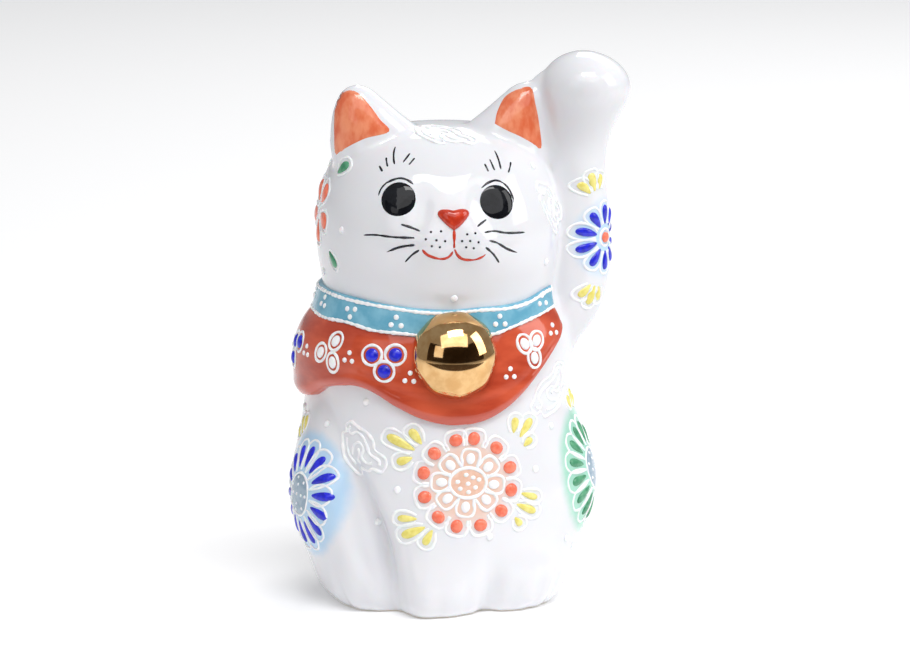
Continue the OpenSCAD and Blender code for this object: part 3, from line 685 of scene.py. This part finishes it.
def band(name, low, high, stand_out, roll, sink=1.6, major=300, minor=40):
    """A strap round the neck; its outer face follows the body, its lower edge is rolled."""
    bpy.ops.object.select_all(action="DESELECT")
    bpy.ops.mesh.primitive_torus_add(major_segments=major, minor_segments=minor,
                                     major_radius=1, minor_radius=0.25)
    piece = bpy.context.object
    points = get_points(piece)
    q = np.degrees(np.arctan2(points[:, 0], -points[:, 1]))
    turn = np.arctan2(points[:, 2], np.hypot(points[:, 0], points[:, 1]) - 1)
    made, near_hem = [], []
    for angle, t in zip(q, turn):
        bottom, top = low(angle), high(angle)
        lift = math.copysign(abs(math.sin(t)) ** roll, math.sin(t))
        z = (bottom + top) / 2 + lift * (top - bottom) / 2
        face = math.copysign(abs(math.cos(t)) ** 0.5, math.cos(t))
        hit, _ = spot(angle, z, trunk_skin)
        way = Vector((hit.x, hit.y, 0)).normalized()
        thick = stand_out(angle, (z - bottom) / (top - bottom)) if face > 0 else sink
        made.append(hit + way * MM * (face * thick))
        near_hem.append(max(0.0, 1 - (z - bottom) / 3.4) if face > -0.2 else 0.0)
    put_points(piece, made)
    mark = piece.data.attributes.new("hem", "FLOAT", "POINT")
    mark.data.foreach_set("value", near_hem)
    face_outwards(piece)
    piece.name = name
    return piece


def wave(rows, q):
    """A smooth level all the way round from a few (angle, height) marks."""
    marks = np.asarray(rows, float)
    marks = np.vstack([marks[-2] - (360, 0), marks, marks[1] + (360, 0)])
    i = int(np.searchsorted(marks[:, 0], q, side="right")) - 1
    i = min(max(i, 1), len(marks) - 3)
    f = (q - marks[i, 0]) / (marks[i + 1, 0] - marks[i, 0])
    a, b, c, d = marks[i - 1:i + 3, 1]
    return curve_between(a, b, c, d, f)


COLLAR_TOP = [(-180, 85.4), (-120, 85.6), (-78, 86), (-54, 85.9), (-33, 84.7), (-15, 83.8), (0, 83.5),
              (15, 83.9), (28, 84.1), (40, 84.9), (55, 86.8), (75, 87), (120, 86), (180, 85.4)]
COLLAR_FOOT = [(-180, 78.4), (-120, 78.6), (-70, 78.4), (-54, 78.4), (-40, 77.3), (-20, 76.4), (0, 75.9),
               (20, 76.2), (30, 77.6), (42, 79.2), (58, 81), (80, 80.5), (120, 79.2), (180, 78.4)]
HEM = [(-180, 61.5), (-150, 60.5), (-118, 57.2), (-95, 55.2), (-79, 56.6), (-66, 60.2), (-52, 62),
       (-45, 62.2), (-37.5, 61), (-28, 58), (-16, 54.8), (-5, 53.1), (3, 52.9), (11, 53.4), (21, 55.6),
       (33, 60.2), (45, 66.6), (56, 72.6), (63, 77.6), (72, 81), (90, 81.5), (110, 77), (130, 68),
       (152, 62.6), (180, 61.5)]


def clear_of_arm(q):
    """One on the open neck, falling to nothing where the strap runs into the raised arm."""
    return 1 / (1 + math.exp(-(abs(q - 92) - 29) / 1.4))


collar = band("collar_band_raised", lambda q: wave(COLLAR_FOOT, q), lambda q: wave(COLLAR_TOP, q),
              lambda q, t: -0.8 + 2.4 * clear_of_arm(q), 0.9)
bib = band("bib_raised", lambda q: wave(HEM, q), lambda q: wave(COLLAR_FOOT, q) + 1.2,
           lambda q, t: -1 + clear_of_arm(q) * (
               1 + (2.2 + 1.9 * math.exp(-((q + 88) / 30) ** 2)) * (1 - 0.6 * t ** 3)
               + 0.6 * math.exp(-((t - 0.1) / 0.07) ** 2)), 0.8, sink=2.2, major=340, minor=56)
blue_glaze = glaze("collar_blue_enamel", "#86C0D6", "#68AAC5", patch=5, roughness=0.07)[0]
finish_piece(collar, "collar_band_raised", blue_glaze, "collar_blue", "collar_band")
red_glaze, tree, surface = glaze("bib_red_enamel", "#D65E40", "#B4432C", patch=8, roughness=0.07,
                                 streak=(0.5, 0.5, 1.4))
brushed = surface.inputs["Base Color"].links[0].from_socket
edge = node(tree, "ShaderNodeAttribute", {"attribute_name": "hem"})
turned = node(tree, "ShaderNodeMapRange", {"interpolation_type": "SMOOTHSTEP"}, Value=edge.outputs["Fac"],
              From_Min=0.15, From_Max=0.6, To_Max=0.75)
hemmed = node(tree, "ShaderNodeMix", {"data_type": "RGBA"}, _0=turned.outputs["Result"], _6=brushed,
              _7=linear("#CF6455"))
tree.links.new(hemmed.outputs[2], surface.inputs["Base Color"])
finish_piece(bib, "bib_raised", red_glaze, "bib_red", "bib")
collar_skin = BVHTree.FromObject(collar, bpy.context.evaluated_depsgraph_get())
bib_skin = BVHTree.FromObject(bib, bpy.context.evaluated_depsgraph_get())

white, _, surface = glaze("trailed_white_enamel", "#FDFDFE", "#F4F5F8", patch=1.5, roughness=0.1)
surface.inputs["Subsurface Weight"].default_value = 0.15
surface.inputs["Subsurface Scale"].default_value = 0.0006
around = np.linspace(-180, 180, 121)[:-1]
edges = [round_axis([(q, wave(COLLAR_TOP, q) - 0.75 + 0.12 * math.sin(q / 7)) for q in around],
                    collar_skin, 0.4, True),
         round_axis([(q, wave(COLLAR_FOOT, q) + 0.6 + 0.12 * math.sin(q / 5)) for q in around],
                    collar_skin, 0.4, True)]
finish_piece(trail("collar_edge_lines", edges, 0.95, sink=0.3, uneven=0.22), "collar_edge_lines", white,
             "trailed_white", "collar_trim")

triplets = [(-75, 82.8), (-52.4, 81.9), (-28.4, 80.4), (24, 80.2), (50, 84.2), (-97, 83), (-174, 82),
            (-146, 82), (-120, 82), (118, 82.4), (146, 82)]
flipped = (-52.4, -120, 146)
grains = []
for q, z in triplets:
    board = Ground(*spot(q, z, collar_skin), collar_skin)
    sign = -1 if q in flipped else 1
    for s, v in ((0, 1.25), (-1.35, -0.8), (1.4, -0.95)):
        grains.append(bead(board, s, v * sign, 0.74, 0.45))
finish_piece(join("collar_grains", grains), "collar_grains", white, "trailed_white", "collar_dots")


# ---------------------------------------------------------------- berry sprays on the bib
# Threes of trailed white rings, one kind holding white beads and one holding cobalt ones, with
# threes of small white grains between them.

cobalt = glaze("cobalt_enamel", "#2F35E2", "#2227B8", patch=1.6, roughness=0.05)[0]
CLUSTERS = {
    "white": [((-56.8, 74), 60), ((-64.6, 70.3), 60), ((-57.2, 68.2), 100), ((35, 73.6), 110),
              ((41.4, 74.1), 60), ((39, 69.6), 95), ((-121, 71.5), 60), ((-129, 68.6), 60),
              ((-123, 66.5), 100), ((163, 73.5), 60), ((155, 71), 60), ((161, 68.6), 100)],
    "blue": [((-38.1, 71.4), 0), ((-27.5, 71.8), 0), ((-31.9, 67.3), 0), ((-91, 70.4), 90), ((-84, 71), 90),
             ((-91, 65.8), 90), ((-163, 72), 0), ((-153, 72.2), 0), ((-158, 67.6), 0), ((127, 75), 0)],
}
rings, white_beads, blue_beads = [], [], []
for kind, places in CLUSTERS.items():
    for (q, z), lean in places:
        board = Ground(*spot(q, z, bib_skin), bib_skin)
        long, short = (2.75, 2.15) if kind == "white" else (2.85, 2.75)
        rings.append(on_ground(board, oval_path(long, short, 12, lean), closed=True))
        if kind == "white":
            white_beads.append(bead(board, 0, 0, 1.3, 0.6, 1.3, lean))
        else:
            blue_beads.append(bead(board, 0, 0, 1.85, 0.75))
finish_piece(trail("bib_rings", rings, 0.85, uneven=0.16), "bib_rings", white, "trailed_white",
             "bib_white_rings")
finish_piece(join("bib_white_beads", white_beads), "bib_white_beads", white, "trailed_white")
finish_piece(join("bib_cobalt_beads", blue_beads), "bib_cobalt_beads", cobalt, "cobalt_enamel",
             "bib_blue_beads")
grains = []
for q, z in ((-49, 70), (-20.5, 65.7), (25.8, 66), (52, 75.9),
             (-75.5, 69.3), (-108, 68), (-142, 68), (142, 71)):
    board = Ground(*spot(q, z, bib_skin), bib_skin)
    for s, v in ((0.2, 1.5), (-1.2, -0.6), (1.2, -0.7)):
        grains.append(bead(board, s, v, 0.7, 0.45))
finish_piece(join("bib_grains", grains), "bib_grains", white, "trailed_white", "bib_dots")


# ---------------------------------------------------------------- the bell
# A plump half bell cast with the bib and gilded; the brush left a slightly angular rim.

gold = glaze("burnished_gold_lustre", "#E6BE88", "#D6A870", patch=3, roughness=0.06, metallic=1.0,
                            bump_height=0.006)[0]
board = Ground(*spot(0.3, 71.7, bib_skin), bib_skin)
bell = sphere_start("bell_gilded", 96, 64)
face = (board.out + Vector((0, 0, 0.04))).normalized()
made = []
for a, b, k in get_points(bell):
    t = math.atan2(b, a)
    rim = 1 + 0.012 * math.cos(9 * t + 0.6) * math.hypot(a, b) ** 6
    made.append(board.at + (board.right * a * 11.4 + board.up * b * 11.9) * rim * MM
                + face * ((k * 8.6 if k > 0 else k * 3.2) - 0.3) * MM)
put_points(bell, made)
finish_piece(bell, "bell_gilded", gold, "gold_lustre", "bell")


# ---------------------------------------------------------------- front flower and its sprays
# Eight inner petals with white beads round a dotted centre, twelve outer petals with coral
# beads, and four sprays of three yellow tears, every petal ringed by a trailed white line.

coral = glaze("coral_enamel", "#FB8A6E", "#F26F52", patch=1.6, roughness=0.06)[0]
yellow = glaze("yellow_enamel", "#F3E88C", "#E6D86C", patch=1.6, roughness=0.06)[0]
cream = glaze("peach_wash_enamel", "#F2CCB8", "#EBBEA6", patch=1.4, roughness=0.12)[0]
hand = np.random.default_rng(11)
outlines, coral_beads, white_beads = [], [], []
oval = oval_path(5.1, 4.1, 14)
centre_ring = [on_ground(FRONT_FLOWER, oval, closed=True)]
for i in range(8):
    bearing = 86 + 45 * i + hand.uniform(-3, 3)
    u = heading(bearing)
    tip, fat = (4.6 * u[0], 4.0 * u[1]), (9.2 * u[0], 8.4 * u[1])
    outlines.append(on_ground(FRONT_FLOWER, loop_round(tip, fat, 3.4, 0.9, 0.8)))
    white_beads.append(bead(FRONT_FLOWER, 7.2 * u[0], 6.6 * u[1], 1.25, 0.55, 1.25, bearing))
for i in range(12):
    bearing = 79 - 30.4 * i + hand.uniform(-3, 3)
    u = heading(bearing)
    tip, fat = (10 * u[0], 9.7 * u[1]), (14 * u[0], 13.8 * u[1])
    outlines.append(on_ground(FRONT_FLOWER, loop_round(tip, fat, 4.2, 1.05, 0.82)))
    coral_beads.append(bead(FRONT_FLOWER, 12.3 * u[0], 12.1 * u[1], 1.68, 1.0, 1.1, bearing + 90 * (i % 2)))
finish_piece(trail("front_flower_lines", outlines, 0.86, uneven=0.16), "front_flower_lines",
             white, "trailed_white",
             "front_flower_outline")
finish_piece(join("front_coral_beads", coral_beads), "front_coral_beads", coral, "coral_enamel",
             "front_flower_coral_beads")
finish_piece(join("front_white_beads", white_beads), "front_white_beads", white, "trailed_white",
             "front_flower_white_beads")
finish_piece(patch("front_centre_wash", FRONT_FLOWER, oval, 0.12), "front_centre_wash", cream, "coral_enamel")
seeds = [(0, -0.2), (-0.5, 2.2), (1.4, 1.4), (3, 0.8), (2, -1.3), (0.1, -2.5), (-2.2, -1.5), (-2.8, 0.4)]
grains = [bead(FRONT_FLOWER, s, v, 0.62, 0.42, 1.15) for s, v in seeds]
ring = trail("front_centre_ring", centre_ring, 1.0, uneven=0.12)
finish_piece(join("front_centre_white", [ring] + grains), "front_centre_white", white, "trailed_white",
             "front_flower_centre")

SPRAYS = [((-14.1, 9.2), (-21.2, 13.1), 2.5), ((-12.3, 10.8), (-15.3, 14.9), 2.4),
          ((-14.8, 7.2), (-18.9, 5.8), 2.3), ((13, 12.8), (13.7, 17), 2.1),
          ((14.8, 11.5), (18.4, 16.3), 2.3), ((15.9, 9), (18.3, 11), 1.9),
          ((-13.9, -9.4), (-19, -9.2), 1.9), ((-11.8, -11.6), (-18, -14.1), 2.5),
          ((-9.9, -12.4), (-12.3, -16.4), 2.1), ((14.8, -3.6), (19.5, -5.2), 1.8),
          ((13.5, -6.5), (19, -9), 2.1), ((13, -10.1), (14.8, -12.4), 1.9)]
tears, loops = [], []
for tip, fat, width in SPRAYS:
    tears.append(drop(FRONT_FLOWER, tip, fat, width, 0.85))
    loops.append(on_ground(FRONT_FLOWER, loop_round(tip, fat, width, 1.2, 0.35)))


def side_spray(ground, turn, reach):
    """Three yellow tears fanned out beyond a flower."""
    for place, lean, length, width in ((-6, -24, 4.2, 2), (0, 0, 5.4, 2.3), (6, 24, 4.2, 2)):
        u, way = heading(turn + place), heading(turn + lean)
        tip = (reach * u[0], reach * u[1])
        fat = (tip[0] + length * way[0], tip[1] + length * way[1])
        tears.append(drop(ground, tip, fat, width, 0.8))
        loops.append(on_ground(ground, loop_round(tip, fat, width, 1, 0.35)))


side_spray(BLUE_FLOWER, 127, 18.5)
side_spray(GREEN_FLOWER, 84, 17.2)
finish_piece(join("yellow_tears", tears), "yellow_tears", yellow, "yellow_enamel", "front_spray_drops")
finish_piece(trail("yellow_tear_lines", loops, 0.84, uneven=0.16), "yellow_tear_lines",
             white, "trailed_white",
             "front_spray_outlines")


# ---------------------------------------------------------------- flowers on the haunches
# Fourteen long petals round a dotted disc on each thigh: cobalt tears on a pale-blue wash on
# the cat's right, green ones on the left.

DAISY_PETALS, DAISY_DISC = 14, 5.8
green = glaze("green_enamel", "#5DA67E", "#3C8A63", patch=1.8, roughness=0.06)[0]
pale = glaze("grey_blue_wash_enamel", "#A9BCCB", "#93A9BB", patch=1.6, roughness=0.1)[0]


def daisy(name, ground, inner, outer, fill, slot, side, turn, drawn_in=0.0):
    """drawn_in shortens the lines round the petals that point right, where the body turns away."""
    tears, loops = [], []
    pitch = 2 * math.pi * outer / DAISY_PETALS
    width = pitch * 0.41
    for i in range(DAISY_PETALS):
        u = heading(turn + 360 / DAISY_PETALS * i)
        tip, fat = (inner * u[0], inner * u[1]), (outer * u[0], outer * u[1])
        rim = (u[0] * (DAISY_DISC + 0.4), u[1] * (DAISY_DISC + 0.4))
        tears.append(drop(ground, tip, fat, width, 0.8))
        fat = (fat[0] * (1 - drawn_in * max(0, u[0])), fat[1])
        loops.append(on_ground(ground, loop_round(rim, fat, width, (pitch - width) / 2 - 0.1, 0.45)))
    ring = oval_path(DAISY_DISC, DAISY_DISC, 12)
    loops.append(on_ground(ground, ring, closed=True))
    lines = trail(name + "_line", loops, 0.74, uneven=0.14)
    seeds = [bead(ground, r * math.cos(t), r * math.sin(t), 0.45, 0.35)
             for r, n in ((0, 1), (DAISY_DISC * 0.45, 4), (DAISY_DISC * 0.78, 7))
             for t in np.arange(n) * 2 * math.pi / n]
    finish_piece(join(name + "_lines", [lines] + seeds), name + "_lines", white, "trailed_white",
                 side + "_haunch_outlines")
    finish_piece(join(name + "_tears", tears), name + "_tears", fill, slot, side + "_haunch_petals")
    finish_piece(patch(name + "_disc", ground, ring, 0.12), name + "_disc", pale, "pale_blue_enamel")


daisy("blue_flower", BLUE_FLOWER, 7.4, 13.5, cobalt, "cobalt_enamel", "right", 8, 0.17)
daisy("green_flower", GREEN_FLOWER, 7.2, 13.3, green, "green_enamel", "left", 4)


# ---------------------------------------------------------------- flower on the raised arm
# Cobalt tears round one coral bead, with yellow sprays above and below.

arm_tears, arm_lines = [], []
for i in range(10):
    u = heading(18 + 36 * i)
    tip, fat = (3.6 * u[0], 3.6 * u[1]), (9 * u[0], 9 * u[1])
    arm_tears.append(drop(ARM_FLOWER, tip, fat, 2.3, 0.85))
    arm_lines.append(on_ground(ARM_FLOWER, loop_round(tip, fat, 2.3, 1.1, 0.3)))
arm_lines.append(on_ground(ARM_FLOWER, oval_path(2.4, 2.4, 10), closed=True))
tears, loops = [], []
side_spray(ARM_FLOWER, 107, 13.8)
side_spray(ARM_FLOWER, 254, 13.4)
finish_piece(join("arm_tears", arm_tears), "arm_tears", cobalt, "cobalt_enamel", "arm_flower_petals")
finish_piece(trail("arm_flower_lines", arm_lines + loops, 0.8, uneven=0.14), "arm_flower_lines", white,
             "trailed_white", "arm_flower_outlines")
finish_piece(join("arm_yellow_tears", tears), "arm_yellow_tears", yellow, "yellow_enamel", "arm_spray_drops")
finish_piece(bead(ARM_FLOWER, 0, 0, 1.5, 0.9), "arm_coral_bead", coral, "coral_enamel", "arm_flower_centre")


# ---------------------------------------------------------------- flower on the right cheek
# Coral petals with green leaves above and below, seen edge-on from the front.

cheek_tears, cheek_lines, leaves = [], [], []
for i in range(5):
    u = heading(54 + 72 * i)
    tip, fat = (2.8 * u[0], 2.8 * u[1]), (9 * u[0], 9 * u[1])
    cheek_tears.append(drop(CHEEK_FLOWER, tip, fat, 4.4, 0.9))
    cheek_lines.append(on_ground(CHEEK_FLOWER, loop_round(tip, fat, 4.4, 1, 0.35)))
for q, z, turn in ((-70, 119.6, 36), (-68, 94.9, -42), (-112, 119, 140), (-114, 94.5, 222)):
    leaf_ground = Ground(*spot(q, z))
    u = heading(turn)
    tip, fat = (-3 * u[0], -3 * u[1]), (2.6 * u[0], 2.6 * u[1])
    leaves.append(drop(leaf_ground, tip, fat, 2.6, 0.7))
    cheek_lines.append(on_ground(leaf_ground, loop_round(tip, fat, 2.6, 0.9, 0.3)))
cheek_lines.append(on_ground(CHEEK_FLOWER, oval_path(1.9, 1.9, 10), closed=True))
finish_piece(join("cheek_tears", cheek_tears), "cheek_tears", coral, "coral_enamel", "cheek_flower_petals")
finish_piece(join("cheek_leaf_tears", leaves), "cheek_leaf_tears", green, "green_enamel", "cheek_leaves")
finish_piece(trail("cheek_flower_lines", cheek_lines, 0.8, uneven=0.14), "cheek_flower_lines", white,
             "trailed_white", "cheek_flower_outlines")


# ---------------------------------------------------------------- trailed clouds
# White scrolls on the crown, the left of the head and the chest.

def cloud(name, ground, wide, tall, turn, target):
    c, d = math.cos(math.radians(turn)), math.sin(math.radians(turn))

    def placed(path):
        return [(wide * a * c - tall * b * d, wide * a * d + tall * b * c) for a, b in path]

    lobes = [(-0.52, 1), (-0.8, 0.78), (-0.72, 0.58), (-0.96, 0.46), (-0.9, 0.08), (-0.78, -0.32),
             (-0.5, -0.7), (-0.16, -0.98), (0.05, -0.94), (0, -0.72), (0.36, -0.8), (0.58, -0.68),
             (0.9, -0.76), (1.03, -0.46), (0.95, -0.2), (0.58, 0.04), (0.5, 0.36), (0.2, 0.66),
             (-0.16, 0.8)]
    curls = [[(-0.5, 0.8), (-0.62, 0.62), (-0.46, 0.5), (-0.2, 0.62), (0.1, 0.44), (0.3, 0.12), (0.42, -0.14),
              (0.78, -0.34), (0.8, -0.52)],
             [(-0.72, 0.36), (-0.7, 0), (-0.54, -0.34), (-0.24, -0.66)],
             [(-0.44, -0.3), (-0.34, 0.08), (-0.06, 0.24), (0.16, 0), (0.06, -0.26), (0.3, -0.5),
              (0.56, -0.46)],
             [(-0.12, 0.02), (-0.02, -0.18), (-0.16, -0.42), (0.04, -0.56)]]
    runs = [on_ground(ground, placed(lobes), closed=True)]
    runs += [on_ground(ground, placed(curl)) for curl in curls]
    finish_piece(trail(name, runs, 0.95, sink=0.25, uneven=0.22), name, white, "trailed_white", target)


top_hit, _, _, _ = skin.ray_cast(Vector((0, -11.5, 200)) * MM, Vector((0, 0, -1)))
cloud("crown_scroll", Ground(top_hit, Vector((0, -0.5, 0.86))), 8.6, 6.2, -12, "crown_cloud")
cloud("head_side_scroll", Ground(*spot(60, 109.5)), 6, 8, 10, "head_side_cloud")
cloud("chest_scroll_right", Ground(*spot(-43.5, 45.4)), 7.6, 7.2, 0, "chest_cloud_right")
cloud("chest_scroll_left", Ground(*spot(53, 59.2)), 6.8, 9, 90, "chest_cloud_left")


# ---------------------------------------------------------------- scattered white grains
# Single white beads between the flowers.

grains = [bead(Ground(*spot(q, z)), 0, 0, 0.98, 0.6, 1.1, 60) for q, z in (
    (-58.5, 103.9), (0.7, 86.6), (-85.4, 90), (54.5, 120.2), (51.4, 94.6), (-42.2, 58.1),
    (-65.4, 50.2), (-96.5, 51.3),
    (-25.4, 35.3), (-38.2, 25), (37.2, 39.4), (15.2, 22), (49.9, 49.9), (53.9, 18.5), (62, 15), (-120, 44),
    (-150, 30), (-172, 50), (165, 36), (140, 50), (118, 42), (-128, 20), (132, 20), (150, 104), (-150, 112),
    (-128, 98), (128, 92), (178, 98))]
finish_piece(join("body_grains", grains), "body_grains", white, "trailed_white", "scattered_dots")
